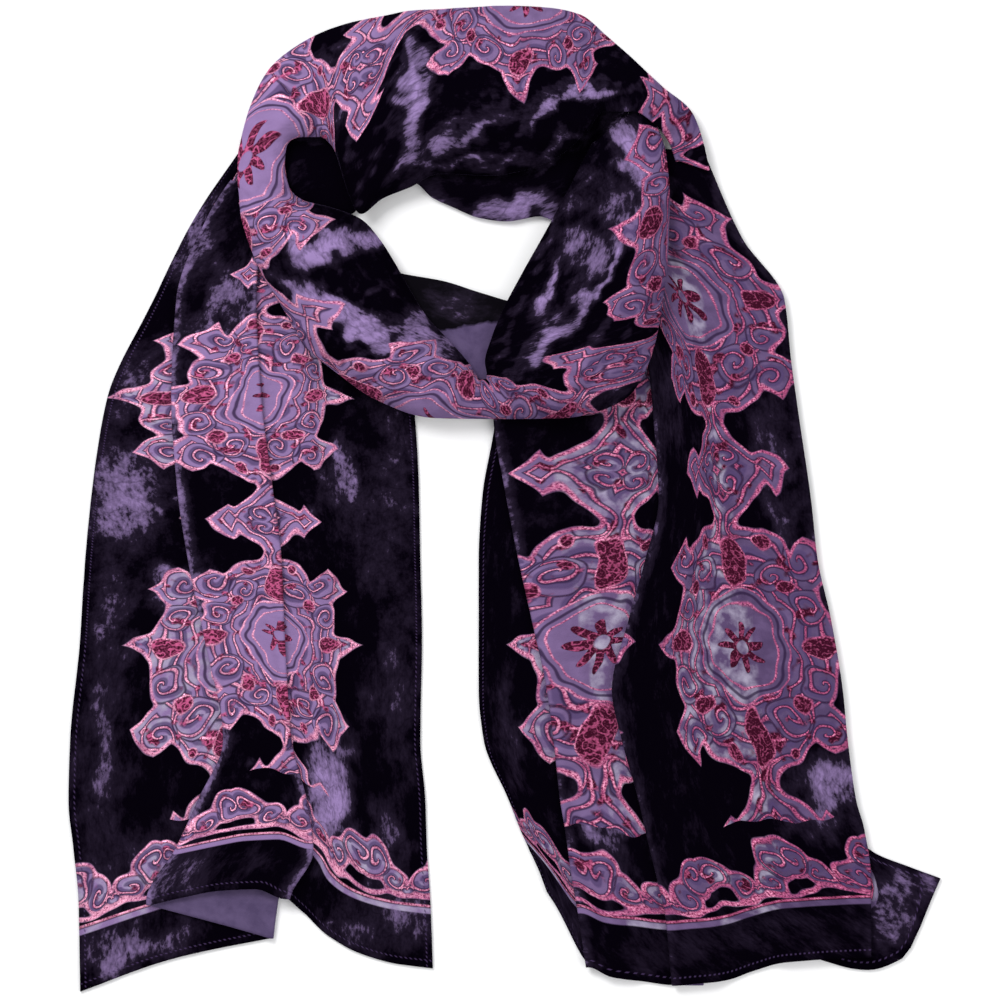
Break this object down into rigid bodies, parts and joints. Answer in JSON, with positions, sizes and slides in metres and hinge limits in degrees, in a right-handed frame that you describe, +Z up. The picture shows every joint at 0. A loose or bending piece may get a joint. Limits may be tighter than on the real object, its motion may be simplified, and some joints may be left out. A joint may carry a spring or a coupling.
{
  "type": "velvet scarf laid flat",
  "caption": "Long burnt-out velvet scarf, wound once as round a neck and laid flat with its pleated ends side by side.",
  "frame": {"origin": "centre of the bounding box in plan, on the surface the scarf lies on", "axes": "+Z up from the surface, +Y from the hems towards the back of the neck, +X to the right seen from above with the hems nearest"},
  "size_m": [0.523, 0.5907, 0.0365],
  "materials": {
    "figured_velvet": "near-black purple velvet with raised ornament of lilac chiffon, purple outlines and metallic pink edges",
    "dark_velvet": "near-black purple velvet, crushed, with lavender sheen",
    "reverse_side": "matte purple woven ground"
  },
  "bodies": {
    "root": {"left_tail": "figured_velvet", "right_tail": "figured_velvet", "front_left": "figured_velvet", "front_right": "figured_velvet", "back_over": "figured_velvet", "back_under": "dark_velvet", "front_inside": "reverse_side", "hidden_layers": "dark_velvet"}
  },
  "joints": []
}
